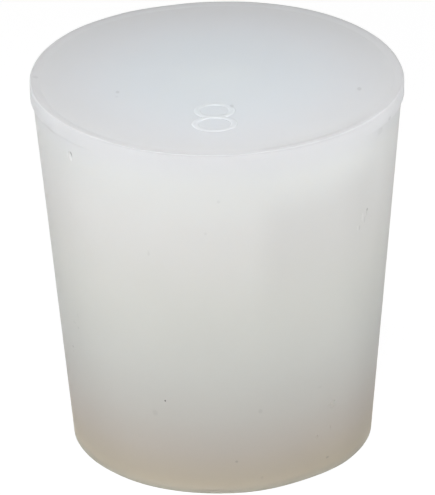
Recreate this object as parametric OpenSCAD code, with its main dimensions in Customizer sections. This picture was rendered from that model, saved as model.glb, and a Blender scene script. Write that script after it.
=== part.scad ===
// Solid tapered stopper for the neck of a flask, bottle or tube, moulded in one
// piece from soft translucent rubber. It stands on its narrow end: +Z is up, and
// the origin is at the centre of that end. All sizes are in millimetres.

/* [Taper] */
// Overall height, from the narrow end to the top of the lip
height = 29.4; // [12:0.1:60]
// Diameter of the narrow end, before its edge is rounded
narrow_d = 22.7; // [10:0.1:27]
// Radius round the edge of the narrow end
narrow_edge_r = 0.3; // [0.1:0.05:3]

/* [Rim] */
// Diameter over the rim at the wide end
rim_d = 28; // [24:0.1:40]
// Height of the straight rim, from its underside to the top of the lip
rim_h = 1.25; // [0.8:0.05:4]
// How far the rim stands out past the taper below it
rim_step = 0.18; // [0.16:0.01:0.6]
// Radius round the top of the rim, held to what the lip's width allows
rim_edge_r = 0.2; // [0.05:0.01:0.3]
// Radius of the rim's lower edge, and of the fillet under it
rim_under_r = 0.07; // [0.02:0.01:0.08]

/* [Lip] */
// Width of the top of the fine lip that runs round the top face
lip_w = 0.3; // [0.2:0.05:2]
// Width of the slope inside the lip, from its top down to the top face
lip_slope_w = 0.45; // [0.2:0.05:3]
// Height of the lip above the top face
lip_h = 0.1; // [0.08:0.01:0.4]
// Radius of the slope's upper edge, and of the hollow at its foot
lip_slope_r = 0.6; // [0.1:0.05:2]

/* [Hidden] */
// Sides of the full turn, and steps along each rounded edge
turn_sides = 180;
edge_steps = 6;
// Most of the lip's width that the rim's rounding may take up
rim_edge_share = 0.7;
// Most of the lip's width that the rounding at the top of the slope may take up
lip_edge_share = 0.25;
// Most of the slope's length that the rounding at either end of it may take up
slope_share = 0.4;
rim_radius = rim_d / 2;
rim_underside = height - rim_h;
rim_rounding = min(rim_edge_r, rim_edge_share * lip_w);
lip_radius = rim_radius - lip_w;
face_radius = lip_radius - lip_slope_w;
face_height = height - lip_h;
slope_angle = atan2(lip_h, lip_slope_w);
slope_reach = min(lip_edge_share * lip_w, slope_share * norm([lip_slope_w, lip_h]));
slope_rounding = min(lip_slope_r, slope_reach / tan(slope_angle / 2));
// Corners of the half section, anticlockwise from the centre of the narrow end,
// each as [radius from the axis, height, radius of the rounding]
SECTION = [
    [0, 0, 0],
    [narrow_d / 2, 0, narrow_edge_r],
    [rim_radius - rim_step, rim_underside, rim_under_r],
    [rim_radius, rim_underside, rim_under_r],
    [rim_radius, height, rim_rounding],
    [lip_radius, height, slope_rounding],
    [face_radius, face_height, slope_rounding],
    [0, face_height, 0],
];

function unit(v) = v / norm(v);

function flat(corner) = [corner[0], corner[1]];

// Points of the arc that rounds the corner at here, between the sides that lead
// back to before and on to after. A hollow corner's arc turns the other way
function arc_points(before, here, after, r) =
    let (
        back = unit(before - here),
        on = unit(after - here),
        half_angle = acos(back * on) / 2,
        centre = here + unit(back + on) * r / sin(half_angle),
        first = here + back * r / tan(half_angle) - centre,
        start = atan2(first[1], first[0]),
        turn = sign(cross(on, back)) * (180 - 2 * half_angle)
    )
    [for (i = [0 : edge_steps])
        let (angle = start + turn * i / edge_steps)
        centre + r * [cos(angle), sin(angle)]];

// Outline through the corners, with an arc wherever a corner has a radius
function rounded(corners) =
    let (count = len(corners))
    [for (i = [0 : count - 1])
        each corners[i][2] == 0
            ? [flat(corners[i])]
            : arc_points(
                flat(corners[(i + count - 1) % count]),
                flat(corners[i]),
                flat(corners[(i + 1) % count]),
                corners[i][2]
            )];

// The whole stopper, turned from its half section
module stopper() {
    color([0.84, 0.84, 0.83])
        rotate_extrude($fn = turn_sides) polygon(rounded(SECTION));
}

stopper();
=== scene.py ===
import math

import bmesh
import bpy
from mathutils import Matrix, Vector


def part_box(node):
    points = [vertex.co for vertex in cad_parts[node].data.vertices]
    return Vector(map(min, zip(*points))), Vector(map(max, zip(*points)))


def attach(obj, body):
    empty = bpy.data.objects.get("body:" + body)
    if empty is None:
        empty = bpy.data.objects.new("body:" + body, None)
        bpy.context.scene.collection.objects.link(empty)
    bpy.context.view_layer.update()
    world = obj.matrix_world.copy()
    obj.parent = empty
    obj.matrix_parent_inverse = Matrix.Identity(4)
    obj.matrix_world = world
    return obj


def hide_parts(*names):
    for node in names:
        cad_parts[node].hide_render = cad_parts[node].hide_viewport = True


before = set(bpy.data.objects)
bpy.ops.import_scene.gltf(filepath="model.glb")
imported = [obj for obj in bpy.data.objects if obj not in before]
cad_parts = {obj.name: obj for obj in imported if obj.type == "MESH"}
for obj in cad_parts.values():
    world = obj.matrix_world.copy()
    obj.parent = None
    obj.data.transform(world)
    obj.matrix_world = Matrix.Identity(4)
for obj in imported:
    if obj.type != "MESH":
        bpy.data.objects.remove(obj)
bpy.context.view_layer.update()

# ---------------------------------------------------------------------------
# The stopper: a solid plug of milky silicone rubber, cast upside down in one
# piece. The taper lets it wedge in a neck, and the mould's parting leaves the
# straight rim and the fine lip that run round the wide end.
# ---------------------------------------------------------------------------
MM = 0.001
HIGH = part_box("stopper")[1]
RIM_RADIUS = HIGH.x
HEIGHT = HIGH.z
NARROW_RADIUS = 11.35 * MM
NARROW_ROUNDING = 0.06 * MM
RIM_HEIGHT = 1.25 * MM
RIM_STEP = 0.18 * MM
RIM_ROUNDING = 0.1 * MM
UNDER_ROUNDING = 0.06 * MM
LIP_WIDTH = 0.3 * MM
LIP_SLOPE_WIDTH = 0.45 * MM
LIP_HEIGHT = 0.1 * MM
LIP_ROUNDING = 0.6 * MM
FACE_HEIGHT = HEIGHT - LIP_HEIGHT
TAPER_TOP_RADIUS = RIM_RADIUS - RIM_STEP
LIP_RADIUS = RIM_RADIUS - LIP_WIDTH
FACE_RADIUS = LIP_RADIUS - LIP_SLOPE_WIDTH
TURN_STEPS = 288
ROUNDING_STEPS = 6
TAPER_ROWS = 56
# A ring of narrow faces round each flat end, and a row of points this far below the
# top of the rim, keep the shading of the rounded edges from running over what is flat
FACE_RING = 0.3 * MM
RIM_ROW = 0.45 * MM
# Points closer than this are the same point
NEAR = MM / 1000
# Half of the front, in degrees, over which the ledge under the rim has no step at
# all, the degrees over which it then grows, and the share of it that is flush
FLUSH_HALF = 42
FLUSH_FADE = 22
FLUSH_SHARE = 0.97
# The moulding isn't quite round. How far it has sunk in, as turns from the front in
# degrees and millimetres, at the top and at the foot, and how far that reaches
SUNK_TOP = [
    (-180, 0.22), (-165, 0.29), (-148, 0.14), (-128, 0.0), (-60, -0.03), (84, 0.0), (102, 0.15),
    (118, 0.15), (150, 0.08), (168, 0.13), (180, 0.22),
]
SUNK_FOOT = [
    (-90, 0.0), (-64, 0.12), (-50, 0.16), (-30, 0.10), (8, 0.12), (34, 0.32), (58, 0.13), (90, 0.0),
]
SUNK_REACH = 0.4
# The lip is worn low at the front: the turn of the middle of that stretch, half the
# stretch and how far it takes to come back, in degrees, the share of its height that
# is worn away, and the radius of the rim's edge there, as a share of the full one
WORN_TURN = -8
WORN_HALF = 10
WORN_FADE = 30
WORN_SHARE = 0.75
WORN_EDGE = 0.5


def round_corner(section, corner, radius):
    """Rounds one corner of a wire section, whose two sides meet at any angle."""
    ways = [edge.other_vert(corner).co - corner.co for edge in corner.link_edges]
    reach = radius / math.tan(ways[0].angle(ways[1]) / 2)
    bmesh.ops.bevel(
        section, geom=[corner], offset=reach, segments=ROUNDING_STEPS,
        profile=0.5, affect="VERTICES", material=-1,
    )


def smooth_step(share):
    share = min(max(share, 0), 1)
    return share * share * (3 - 2 * share)


def sunk(table, turn):
    """How far the moulding has sunk at a turn from the front, in degrees."""
    for (start, at_start), (end, at_end) in zip(table, table[1:]):
        if start <= turn <= end:
            share = smooth_step((turn - start) / (end - start))
            return (at_start + share * (at_end - at_start)) * MM
    return 0


def real_radius(turn, height, radius):
    """The radius that a point of the plain turned body really has."""
    straight_top = HEIGHT - RIM_ROUNDING
    if NARROW_ROUNDING < height < straight_top:
        flush = FLUSH_SHARE * (1 - smooth_step((abs(turn) - FLUSH_HALF) / FLUSH_FADE))
        straight = NARROW_RADIUS + (RIM_RADIUS - NARROW_RADIUS) * height / straight_top
        radius += flush * (straight - radius)
    up, down = height / HEIGHT, 1 - height / HEIGHT
    radius -= sunk(SUNK_TOP, turn) * smooth_step(1 - down / SUNK_REACH)
    return radius - sunk(SUNK_FOOT, turn) * smooth_step(1 - up / SUNK_REACH)


def settle(body):
    """Moves each point of the turned body to its real radius and height."""
    for vert in body.verts:
        turn = math.degrees(math.atan2(vert.co.x, -vert.co.y))
        turned_radius, height = vert.co.xy.length, vert.co.z
        radius = turned_radius
        drop = max(height - FACE_HEIGHT, 0)
        worn = 1 - smooth_step((abs(turn - WORN_TURN) - WORN_HALF) / WORN_FADE)
        near_side = radius > RIM_RADIUS - RIM_ROUNDING - NEAR
        near_top = height > HEIGHT - RIM_ROUNDING - NEAR
        if near_side and near_top:
            edge_share = 1 + (WORN_EDGE - 1) * worn
            radius = RIM_RADIUS + edge_share * (radius - RIM_RADIUS)
            height = HEIGHT + edge_share * (height - HEIGHT)
            drop = LIP_HEIGHT
        vert.co.xy *= real_radius(turn, height, radius) / turned_radius
        vert.co.z = height - WORN_SHARE * worn * drop


def turned_body():
    """The plain body, turned round the Z axis from its half section."""
    body = bmesh.new()
    corners = [
        (NARROW_RADIUS - FACE_RING - NARROW_ROUNDING, 0, 0),
        (NARROW_RADIUS, 0, NARROW_ROUNDING),
        (TAPER_TOP_RADIUS, HEIGHT - RIM_HEIGHT, UNDER_ROUNDING),
        (RIM_RADIUS, HEIGHT - RIM_HEIGHT, UNDER_ROUNDING),
        (RIM_RADIUS, HEIGHT - RIM_ROW, 0),
        (RIM_RADIUS, HEIGHT, RIM_ROUNDING),
        (LIP_RADIUS, HEIGHT, LIP_ROUNDING),
        (FACE_RADIUS, FACE_HEIGHT, LIP_ROUNDING),
        (FACE_RADIUS - FACE_RING, FACE_HEIGHT, 0),
    ]
    verts = [body.verts.new((radius, 0, z)) for radius, z, rounding in corners]
    for start, end in zip(verts, verts[1:]):
        body.edges.new((start, end))
    for vert, (radius, z, rounding) in zip(verts, corners):
        if rounding:
            round_corner(body, vert, rounding)
    taper = max(body.edges, key=lambda edge: edge.calc_length())
    bmesh.ops.subdivide_edges(body, edges=[taper], cuts=TAPER_ROWS)
    bmesh.ops.spin(
        body, geom=body.verts[:] + body.edges[:], cent=(0, 0, 0), axis=(0, 0, 1),
        angle=math.tau, steps=TURN_STEPS, use_merge=True,
    )
    bmesh.ops.remove_doubles(body, verts=body.verts, dist=NEAR)
    open_edges = [edge for edge in body.edges if edge.is_boundary]
    bmesh.ops.holes_fill(body, edges=open_edges, sides=0)
    bmesh.ops.recalc_face_normals(body, faces=body.faces)
    settle(body)
    return body


def made_object(name, shape):
    """A new object at the origin from a bmesh, which is then freed."""
    mesh = bpy.data.meshes.new(name)
    shape.to_mesh(mesh)
    shape.free()
    made = bpy.data.objects.new(name, mesh)
    bpy.context.scene.collection.objects.link(made)
    return made


stopper = made_object("moulded_stopper", turned_body())

# ---------------------------------------------------------------------------
# The size number: an 8 that stands up from the wide end, because it was cut
# into the mould. It is part of the same rubber, so it is joined to the body.
# ---------------------------------------------------------------------------
NUMBER_AT = Vector((-0.22 * MM, -7.24 * MM, FACE_HEIGHT))
STROKE_WIDTH = 0.5 * MM
STROKE_RISE = 0.05 * MM
# Each loop of the 8: half its width, half its depth, and which way it lies
LOOPS = [(1.30 * MM, 1.15 * MM, 1), (1.46 * MM, 1.19 * MM, -1)]
LOOP_STEPS = 96
STROKE_SIDES = 16


def number_loop(half_width, half_depth, way):
    """One loop of the 8: a round stroke swept round an ellipse, and flattened."""
    loop = bmesh.new()
    bmesh.ops.create_circle(loop, segments=STROKE_SIDES, radius=STROKE_WIDTH / 2)
    bmesh.ops.rotate(
        loop, verts=loop.verts, cent=(0, 0, 0),
        matrix=Matrix.Rotation(math.pi / 2, 3, "X"),
    )
    bmesh.ops.translate(loop, verts=loop.verts, vec=(half_width, 0, 0))
    bmesh.ops.spin(
        loop, geom=loop.verts[:] + loop.edges[:], cent=(0, 0, 0), axis=(0, 0, 1),
        angle=math.tau, steps=LOOP_STEPS, use_merge=True,
    )
    bmesh.ops.remove_doubles(loop, verts=loop.verts, dist=NEAR)
    bmesh.ops.scale(
        loop, verts=loop.verts,
        vec=(1, half_depth / half_width, STROKE_RISE / (STROKE_WIDTH / 2)),
    )
    bmesh.ops.translate(
        loop, verts=loop.verts, vec=NUMBER_AT + Vector((0, way * half_depth, 0))
    )
    bmesh.ops.recalc_face_normals(loop, faces=loop.faces)
    return made_object("number_loop", loop)


def combine(target, other, operation):
    """Adds another solid to the target, or cuts it away, and then removes the other."""
    step = target.modifiers.new("step", "BOOLEAN")
    step.operation = operation
    step.solver = "EXACT"
    step.object = other
    view = bpy.context.evaluated_depsgraph_get()
    result = bpy.data.meshes.new_from_object(target.evaluated_get(view))
    target.modifiers.clear()
    target.data = result
    bpy.data.objects.remove(other)


for half_width, half_depth, way in LOOPS:
    combine(stopper, number_loop(half_width, half_depth, way), "UNION")

# ---------------------------------------------------------------------------
# Wear on the wall: nicks where glass edges have torn the soft rubber as it was
# pushed into necks and prised out again. Each is a sliver cut out of the body.
# ---------------------------------------------------------------------------
# Each nick: its turn from the front in degrees, its height on the wall, its
# length, width and depth in millimetres, and how far it leans right, in degrees
NICKS = [
    (-52.8, 26.80, 0.85, 0.50, 0.12, -11),
    (55.3, 21.15, 1.25, 0.20, 0.06, 14),
    (43.9, 6.15, 0.85, 0.20, 0.10, 78),
    (44.8, 5.75, 0.60, 0.16, 0.08, 85),
    (44.4, 3.90, 0.60, 0.14, 0.04, 0),
    (38.0, 3.55, 0.42, 0.30, 0.05, 0),
    (-32.1, 4.37, 0.60, 0.22, 0.04, 0),
]
BALL_DETAIL = 2


def on_wall(turn, height):
    """The point on the wall at a turn from the front, in degrees, and a height."""
    up_taper = height / (HEIGHT - RIM_HEIGHT)
    radius = NARROW_RADIUS + up_taper * (TAPER_TOP_RADIUS - NARROW_RADIUS)
    if up_taper > 1:
        radius = RIM_RADIUS
    out = Vector((0, -real_radius(turn, height, radius), height))
    return Matrix.Rotation(math.radians(turn), 3, "Z") @ out


def nick_cutters():
    """One mesh of flattened balls, each half sunk in the wall at its nick."""
    cutters = bmesh.new()
    for turn, height, length, width, depth, lean in NICKS:
        ball = bmesh.ops.create_icosphere(cutters, subdivisions=BALL_DETAIL, radius=MM)["verts"]
        bmesh.ops.scale(cutters, verts=ball, vec=(width / 2, depth, length / 2))
        turned = Matrix.Rotation(math.radians(turn), 3, "Z")
        leaned = Matrix.Rotation(math.radians(lean), 3, "Y")
        bmesh.ops.rotate(cutters, verts=ball, cent=(0, 0, 0), matrix=turned @ leaned)
        bmesh.ops.translate(cutters, verts=ball, vec=on_wall(turn, height * MM))
    return made_object("nick_cutters", cutters)


combine(stopper, nick_cutters(), "DIFFERENCE")

# Faces that meet at more than this keep a crisp edge between them
SHARP_ANGLE = math.radians(32)


def smooth_shading(target):
    """Smooth faces, kept crisp where two of them meet at more than the sharp angle."""
    shape = bmesh.new()
    shape.from_mesh(target.data)
    for face in shape.faces:
        face.smooth = True
    for edge in shape.edges:
        edge.smooth = edge.calc_face_angle(0) < SHARP_ANGLE
    shape.to_mesh(target.data)
    shape.free()


smooth_shading(stopper)

# ---------------------------------------------------------------------------
# The rubber: milky, with light running deep inside it, so the thick foot looks warm
# and the lit wide end looks faintly blue; the colour ramps paint much of that warmth,
# blue and shade in as well. Satin from a blasted mould.
# ---------------------------------------------------------------------------


class Wire:
    """A shader socket that takes part in sums: each operator adds a Math node."""

    def __init__(self, tree, socket):
        self.tree = tree
        self.socket = socket

    def node(self, kind, settings, inputs, output=0):
        """Adds a node, sets it, feeds its sockets, and wraps one of its outputs."""
        made = self.tree.nodes.new(kind)
        for name, setting in settings.items():
            if name == "stops":
                place_stops(made.color_ramp, setting)
            else:
                setattr(made, name, setting)
        for name, value in inputs.items():
            if isinstance(value, Wire):
                self.tree.links.new(value.socket, made.inputs[name])
            else:
                made.inputs[name].default_value = value
        return Wire(self.tree, made.outputs[output])

    def sum(self, operation, first, second):
        return self.node("ShaderNodeMath", {"operation": operation}, {0: first, 1: second})

    def __add__(self, other):
        return self.sum("ADD", self, other)

    __radd__ = __add__

    def __sub__(self, other):
        return self.sum("SUBTRACT", self, other)

    def __rsub__(self, other):
        return self.sum("SUBTRACT", other, self)

    def __mul__(self, other):
        return self.sum("MULTIPLY", self, other)

    __rmul__ = __mul__


def place_stops(ramp, stops):
    """Sets a colour ramp's stops from (position, colour) pairs, with a smooth run."""
    ramp.interpolation = "B_SPLINE"
    while len(ramp.elements) < len(stops):
        ramp.elements.new(1)
    for element, (position, colour) in zip(ramp.elements, stops):
        element.position = position
        element.color = colour


def new_material(name):
    material = bpy.data.materials.new(name)
    material.use_nodes = True
    return material


# Colour of the wall by height, as a share of the stopper's height from its foot.
# Besides the rubber's own colour it holds painted shade and light: darker and warmer
# down towards the foot, painted paler again right at the foot, and darker at the top edge
WALL_COLOURS_AND_SHADE = [
    (0.00, (0.891, 0.858, 0.719, 1)),
    (0.015, (0.684, 0.598, 0.471, 1)),
    (0.05, (0.591, 0.529, 0.431, 1)),
    (0.12, (0.596, 0.548, 0.496, 1)),
    (0.22, (0.637, 0.623, 0.586, 1)),
    (0.36, (0.697, 0.704, 0.675, 1)),
    (0.55, (0.768, 0.773, 0.730, 1)),
    (0.75, (0.819, 0.812, 0.800, 1)),
    (0.90, (0.823, 0.837, 0.822, 1)),
    (0.96, (0.790, 0.801, 0.819, 1)),
    (1.00, (0.756, 0.764, 0.783, 1)),
]
# Colour of the wide end by distance from the axis, as a share of the rim's radius.
# Besides the rubber's own colour it holds painted shade and light: darker than the wall,
# darker towards the rim, darkest in a ring at the very edge, and the blue of scattered
# light at its middle
FACE_COLOURS_AND_SHADE = [
    (0.00, (0.864, 0.919, 0.973, 1)),
    (0.25, (0.834, 0.884, 0.936, 1)),
    (0.45, (0.826, 0.872, 0.913, 1)),
    (0.65, (0.821, 0.845, 0.877, 1)),
    (0.83, (0.785, 0.798, 0.817, 1)),
    (0.93, (0.772, 0.782, 0.794, 1)),
    (0.98, (0.770, 0.774, 0.790, 1)),
    (1.00, (0.661, 0.667, 0.681, 1)),
]
# The raised number is painted paler than the face round it: a painted highlight on its strokes
NUMBER_HIGHLIGHT = 1.05
# The proud part of the rim is painted paler than the wall under it towards the sides:
# painted light for the glow of its thin edge. That starts and is full at these turns
# from the front
RIM_SIDE_LIGHT = 1.08
RIM_LIGHT_FROM = math.radians(70)
RIM_LIGHT_TO = math.radians(46)
# How far below the wide end its colour starts on the wall, and where it is full
FACE_STARTS = 0.18 * MM
FACE_FULL = 0.09 * MM
# The rubber's slight clouding
CLOUD_SIZE = 6 * MM
CLOUD_DETAIL = 2.0
CLOUD_STRENGTH = 0.03
# Specks on the wall, mostly dirt and scuffs, and some painted shade and highlight: turn
# in degrees, height, half width and half height in millimetres, and the share of the
# colour left, or over 1 for a paler speck
WALL_DIRT_AND_SHADE_SPECKS = [
    (-20.75, 7.92, 0.075, 0.10, 0.12),
    (-25.0, 6.70, 0.30, 0.34, 0.94),
    (13.7, 7.08, 0.22, 0.26, 0.93),
    (-23.5, 20.55, 0.12, 0.28, 0.94),
    (-4.5, 22.68, 0.15, 0.16, 0.95),
    (-0.2, 25.40, 0.17, 0.18, 0.94),
    (14.8, 1.16, 0.16, 0.16, 0.93),
    (44.3, 1.30, 0.20, 0.12, 0.80),
    (5.0, 2.82, 0.15, 0.13, 0.80),
    (37.7, 7.95, 0.35, 0.10, 0.96),
    # These two are painted shade and a painted highlight on the two sides of the first nick
    (-52.2, 26.93, 0.17, 0.38, 0.42),
    (-54.0, 26.90, 0.16, 0.36, 1.07),
    (55.9, 21.64, 0.16, 0.17, 0.74),
    (54.8, 20.93, 0.10, 0.38, 0.88),
    (53.4, 21.25, 0.13, 0.52, 1.07),
    (52.2, 20.46, 0.09, 0.28, 0.86),
    (51.0, 20.52, 0.11, 0.30, 1.06),
    (-66.8, 9.37, 0.14, 0.11, 0.76),
    (-66.9, 8.96, 0.12, 0.07, 0.90),
    (-59.9, 11.60, 0.12, 0.10, 0.88),
    (-62.6, 11.83, 0.26, 0.09, 0.94),
    (-59.4, 12.71, 0.10, 0.30, 0.95),
    # These three are painted shade round the ledge under the rim, near the sides
    (65.4, 28.30, 0.35, 0.22, 0.90),
    (60.5, 27.75, 0.55, 0.40, 0.95),
    (-64.0, 28.10, 1.30, 0.30, 0.93),
]
# Specks on the wide end: place in millimetres, half sizes across and along, share
FACE_SPECKS = [
    # The first two are painted shade on either side of a tiny raised mark
    (-7.43, -2.50, 0.20, 0.30, 0.88),
    (-7.50, -3.30, 0.16, 0.24, 0.95),
    (10.57, -2.62, 0.22, 0.40, 0.86),
    (1.05, -5.35, 0.20, 0.40, 0.88),
    (-13.60, 0.30, 0.30, 0.30, 0.92),
]
# Share of a speck's size at which it starts to fade out
SPECK_EDGE = 0.45
# Painted shade along the foot of the lip, in the crease inside it: the middle of its run
# and how far it goes each way before it fades and before it ends, in degrees, then the rings
# between which it starts, is strongest and ends, by distance from the rim's edge
LIP_SHADE_TURN = math.radians(36)
LIP_SHADE_FADES = math.radians(13)
LIP_SHADE_ENDS = math.radians(27)
LIP_SHADE_RINGS = (1.7 * MM, 0.55 * MM, 0.2 * MM)
LIP_SHADE_LEFT = 0.94
# Painted shade along the rim's top edge at the front, where the lip is worn, that tones
# down its glint: the middle of that stretch and how far it goes each way before it fades
# and before it ends, how far the edge reaches in from the side and down from the top, as
# where it starts and is full, and the share left
EDGE_TURN = math.radians(4)
EDGE_FADES = math.radians(28)
EDGE_ENDS = math.radians(52)
EDGE_INSIDE = (0.14 * MM, 0.05 * MM)
EDGE_BELOW = (0.26 * MM, 0.13 * MM)
EDGE_SHADE_LEFT = 0.91
# The grain of the blasted mould
GRAIN_SIZE = 0.35 * MM
GRAIN_DETAIL = 3.0
GRAIN_DEPTH = 0.012 * MM
GRAIN_STRENGTH = 0.35
# How shiny and how dull it is in patches, and the limits of the clouding between them
ROUGHNESS = (0.5, 0.6)
ROUGHNESS_CLOUD = (0.3, 0.7)
# How strongly it bends light, and how much it gleams
RUBBER_IOR = 1.41
GLEAM = 0.2
# The share of the light that runs inside it, and how far red, green and blue go
LIGHT_INSIDE = 0.5
LIGHT_REACH = (1.0, 0.95, 0.9)
REACH_SCALE = 5 * MM


def specks():
    """The centre, half sizes and share left of each speck, in metres."""
    for turn, height, half_width, half_height, left in WALL_DIRT_AND_SHADE_SPECKS:
        yield on_wall(turn, height * MM), (half_width, half_width, half_height), left
    for x, y, half_width, half_depth, left in FACE_SPECKS:
        yield Vector((x * MM, y * MM, FACE_HEIGHT)), (half_width, half_depth, 1), left


def speckled(place, colour):
    """The colour, darkened within each soft-edged speck, or paled where its share is over 1; some
    specks are painted shade.
    """
    for centre, half_sizes, left in specks():
        away = place.node("ShaderNodeVectorMath", {"operation": "SUBTRACT"}, {0: place, 1: centre})
        scaled = place.node(
            "ShaderNodeVectorMath", {"operation": "DIVIDE"},
            {0: away, 1: Vector(half_sizes) * MM},
        )
        apart = place.node("ShaderNodeVectorMath", {"operation": "LENGTH"}, {0: scaled}, output=1)
        kept = blend_range(apart, SPECK_EDGE, 1, left, 1)
        colour = scaled_colour(colour, kept)
    return colour


def arc_mask(place, radius, middle, full, ends):
    """1 within an angle of a turn from the front, and 0 past a wider angle of it."""
    way = (math.sin(middle), -math.cos(middle), 0)
    along = place.node(
        "ShaderNodeVectorMath", {"operation": "DOT_PRODUCT"}, {0: place, 1: way}, output=1
    )
    return blend_range(along.sum("DIVIDE", along, radius), math.cos(ends), math.cos(full), 0, 1)


def lip_foot_shaded(place, radius, colour):
    """The colour, greyed by painted shade along the foot of the lip."""
    run = arc_mask(place, radius, LIP_SHADE_TURN, LIP_SHADE_FADES, LIP_SHADE_ENDS)
    starts, strongest, ends = (RIM_RADIUS - inside for inside in LIP_SHADE_RINGS)
    ring = blend_range(radius, starts, strongest, 0, 1) * blend_range(radius, strongest, ends, 1, 0)
    return scaled_colour(colour, 1 - (1 - LIP_SHADE_LEFT) * ring * run)


def shaded_edge(place, radius, z, colour):
    """The colour, painted darker along the rim's top edge where the lip is worn, to tone down its
    glint.
    """
    run = arc_mask(place, radius, EDGE_TURN, EDGE_FADES, EDGE_ENDS)
    outside = blend_range(radius, RIM_RADIUS - EDGE_INSIDE[0], RIM_RADIUS - EDGE_INSIDE[1], 0, 1)
    above = blend_range(z, HEIGHT - EDGE_BELOW[0], HEIGHT - EDGE_BELOW[1], 0, 1)
    return scaled_colour(colour, 1 - (1 - EDGE_SHADE_LEFT) * run * outside * above)


def blend_range(value, low, high, at_low, at_high):
    """A smooth step from one number to another as the value goes from low to high."""
    return value.node(
        "ShaderNodeMapRange", {"interpolation_type": "SMOOTHSTEP"},
        {"Value": value, 1: low, 2: high, 3: at_low, 4: at_high},
    )


def scaled_colour(colour, share):
    return colour.node("ShaderNodeVectorMath", {"operation": "SCALE"}, {0: colour, 3: share})


def rubber_material():
    material = new_material("milky_silicone")
    tree = material.node_tree
    shader = tree.nodes["Principled BSDF"]
    place = Wire(tree, None).node("ShaderNodeTexCoord", {}, {}, "Object")
    z = place.node("ShaderNodeSeparateXYZ", {}, {0: place}, output=2)
    flat = place.node("ShaderNodeVectorMath", {"operation": "MULTIPLY"}, {0: place, 1: (1, 1, 0)})
    radius = place.node("ShaderNodeVectorMath", {"operation": "LENGTH"}, {0: flat}, output=1)
    # The wall's colour by height, with painted shade and light in it
    wall = z.node("ShaderNodeValToRGB", {"stops": WALL_COLOURS_AND_SHADE}, {0: z * (1 / HEIGHT)})
    # The wide end's colour by radius, with painted shade and light in it
    face = z.node("ShaderNodeValToRGB", {"stops": FACE_COLOURS_AND_SHADE}, {0: radius * (1 / RIM_RADIUS)})
    # Painted light: the proud rim is painted paler towards the sides
    front = place.node("ShaderNodeSeparateXYZ", {}, {0: place}, output=1) * -1
    facing = front.sum("DIVIDE", front, radius)
    proud = blend_range(facing, math.cos(RIM_LIGHT_FROM), math.cos(RIM_LIGHT_TO), 1, 0)
    ledge = HEIGHT - RIM_HEIGHT
    on_rim = blend_range(z, ledge - UNDER_ROUNDING, ledge + UNDER_ROUNDING, 0, 1)
    wall = scaled_colour(wall, 1 + (RIM_SIDE_LIGHT - 1) * (on_rim * proud))
    high = blend_range(z, FACE_HEIGHT - FACE_STARTS, FACE_HEIGHT - FACE_FULL, 0, 1)
    inside = blend_range(radius, RIM_RADIUS - RIM_ROUNDING, RIM_RADIUS, 1, 0)
    colour = z.node(
        "ShaderNodeMix", {"data_type": "RGBA"}, {0: high * inside, 6: wall, 7: face}, output=2
    )
    cloud = place.node(
        "ShaderNodeTexNoise", {},
        {"Vector": place, "Scale": 1 / CLOUD_SIZE, "Detail": CLOUD_DETAIL},
    )
    # Painted highlight on the raised number
    raised = blend_range(z, FACE_HEIGHT, FACE_HEIGHT + STROKE_RISE / 2, 0, NUMBER_HIGHLIGHT - 1)
    on_number = raised * blend_range(radius, FACE_RADIUS - FACE_RING, FACE_RADIUS, 1, 0)
    colour = scaled_colour(colour, (1 + CLOUD_STRENGTH * (cloud - 0.5)) * (1 + on_number))
    # Specks, then painted shade along the foot of the lip
    colour = lip_foot_shaded(place, radius, speckled(place, colour))
    # Painted shade along the rim's top edge at the front
    colour = shaded_edge(place, radius, z, colour)
    tree.links.new(colour.socket, shader.inputs["Base Color"])
    duller = blend_range(cloud, *ROUGHNESS_CLOUD, *ROUGHNESS)
    tree.links.new(duller.socket, shader.inputs["Roughness"])
    grain = place.node(
        "ShaderNodeTexNoise", {},
        {"Vector": place, "Scale": 1 / GRAIN_SIZE, "Detail": GRAIN_DETAIL},
    )
    bump = grain.node(
        "ShaderNodeBump", {},
        {"Height": grain, "Distance": GRAIN_DEPTH, "Strength": GRAIN_STRENGTH},
    )
    tree.links.new(bump.socket, shader.inputs["Normal"])
    shader.inputs["IOR"].default_value = RUBBER_IOR
    shader.inputs["Specular IOR Level"].default_value = GLEAM
    shader.inputs["Subsurface Weight"].default_value = LIGHT_INSIDE
    shader.inputs["Subsurface Radius"].default_value = LIGHT_REACH
    shader.inputs["Subsurface Scale"].default_value = REACH_SCALE
    return material


stopper.data.materials.clear()
stopper.data.materials.append(rubber_material())
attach(stopper, "root")
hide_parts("stopper")

# ---------------------------------------------------------------------------
# The table: a plain white sheet of matt paper that the stopper stands on. It
# looks white and keeps the soft shadow, and throws little light at the foot.
# ---------------------------------------------------------------------------
TABLE_SIZE = 3.0
# The colour that lights the stopper, and the one that is seen
TABLE_COLOUR = (0.6, 0.6, 0.6, 1)
WHITE = (1, 1, 1, 1)
# How much of what is seen is even white rather than lit sheet, and how bright that is
GLOW_SHARE = 0.85
GLOW_STRENGTH = 1.10


def seen_directly(tree):
    """1 for rays from the camera or from a shiny or clear surface, 0 for the rest."""
    kinds = ("Is Camera Ray", "Is Glossy Ray", "Is Transmission Ray")
    rays = [Wire(tree, None).node("ShaderNodeLightPath", {}, {}, kind) for kind in kinds]
    together = rays[0] + rays[1] + rays[2]
    return together.node("ShaderNodeClamp", {}, {"Value": together})


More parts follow.
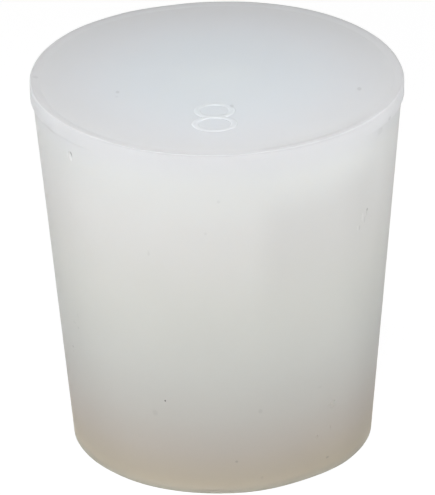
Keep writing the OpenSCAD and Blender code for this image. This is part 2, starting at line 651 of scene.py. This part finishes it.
def table_material():
    material = new_material("white_table")
    tree = material.node_tree
    shader = tree.nodes["Principled BSDF"]
    shader.inputs["Roughness"].default_value = 1
    shader.inputs["Specular IOR Level"].default_value = 0
    seen = seen_directly(tree)
    colour = seen.node(
        "ShaderNodeMix", {"data_type": "RGBA"}, {0: seen, 6: TABLE_COLOUR, 7: WHITE},
        output=2,
    )
    tree.links.new(colour.socket, shader.inputs["Base Color"])
    glow = seen.node(
        "ShaderNodeEmission", {}, {"Color": WHITE, "Strength": GLOW_STRENGTH}
    )
    lit = Wire(tree, shader.outputs[0])
    mixed = seen.node(
        "ShaderNodeMixShader", {}, {0: seen * GLOW_SHARE, 1: lit, 2: glow}
    )
    tree.links.new(mixed.socket, tree.nodes["Material Output"].inputs["Surface"])
    return material


top = bmesh.new()
bmesh.ops.create_grid(top, x_segments=1, y_segments=1, size=TABLE_SIZE)
table = made_object("table_top", top)
table.data.materials.append(table_material())

# ---------------------------------------------------------------------------
# Studio light: a strong round lamp up at the left, small weak ones low at the
# right and in front, a wide one overhead, and one low behind that lights the back
# edge. The surroundings give hardly any light of their own.
# ---------------------------------------------------------------------------
SOFT = (0.12, 0.12, 0.12, 1)
# Each lamp: its place and its width in metres, and its power in watts
LAMPS = [
    ("overhead", (0, 0, 0.45), 0.30, 0.110),
    ("left", (-0.12, -0.06, 0.108), 0.10, 0.1320),
    ("right", (0.065, -0.035, 0.057), 0.06, 0.0275),
    ("front", (0, -0.085, 0.075), 0.07, 0.0392),
    ("back", (0, 0.30, 0.014), 0.024, 0.120),
]


def world_light():
    world = bpy.data.worlds.new("studio")
    world.use_nodes = True
    tree = world.node_tree
    seen = seen_directly(tree)
    colour = seen.node(
        "ShaderNodeMix", {"data_type": "RGBA"}, {0: seen, 6: SOFT, 7: WHITE}, output=2
    )
    tree.links.new(colour.socket, tree.nodes["Background"].inputs["Color"])
    bpy.context.scene.world = world


def soft_lamp(name, place, size, watts):
    data = bpy.data.lights.new(name, "AREA")
    data.shape = "DISK"
    data.size = size
    data.energy = watts
    lamp = bpy.data.objects.new(name, data)
    aim = Vector((0, 0, HEIGHT / 2)) - Vector(place)
    lamp.matrix_world = (
        Matrix.Translation(place) @ aim.to_track_quat("-Z", "Y").to_matrix().to_4x4()
    )
    bpy.context.scene.collection.objects.link(lamp)


world_light()
for lamp in LAMPS:
    soft_lamp(*lamp)

# ---------------------------------------------------------------------------
# Camera: a long lens, well back, that looks down on the wide end. It turns
# about the middle of the stopper and aims a little above it.
# ---------------------------------------------------------------------------
CAMERA_DISTANCE = 0.5569
CAMERA_ELEVATION = math.radians(25.717)
CAMERA_ROLL = math.radians(0.94)
CAMERA_PIVOT = Vector((0, 0, 14.65 * MM))
CAMERA_AIM = Vector((-0.18 * MM, 0, 15.13 * MM))
FOCAL_PIXELS = 7363.8
FRAME_HEIGHT_PIXELS = 495
SENSOR_HEIGHT = 24

camera_data = bpy.data.cameras.new("camera")
camera_data.sensor_fit = "VERTICAL"
camera_data.sensor_height = SENSOR_HEIGHT
camera_data.lens = FOCAL_PIXELS * SENSOR_HEIGHT / FRAME_HEIGHT_PIXELS
camera = bpy.data.objects.new("camera", camera_data)
back = Vector((0, -math.cos(CAMERA_ELEVATION), math.sin(CAMERA_ELEVATION)))
camera_place = CAMERA_PIVOT + CAMERA_DISTANCE * back
looking = (CAMERA_AIM - camera_place).to_track_quat("-Z", "Y").to_matrix().to_4x4()
camera.matrix_world = (
    Matrix.Translation(camera_place) @ looking @ Matrix.Rotation(-CAMERA_ROLL, 4, "Z")
)
bpy.context.scene.collection.objects.link(camera)
bpy.context.scene.camera = camera
bpy.context.scene.view_settings.view_transform = "Standard"
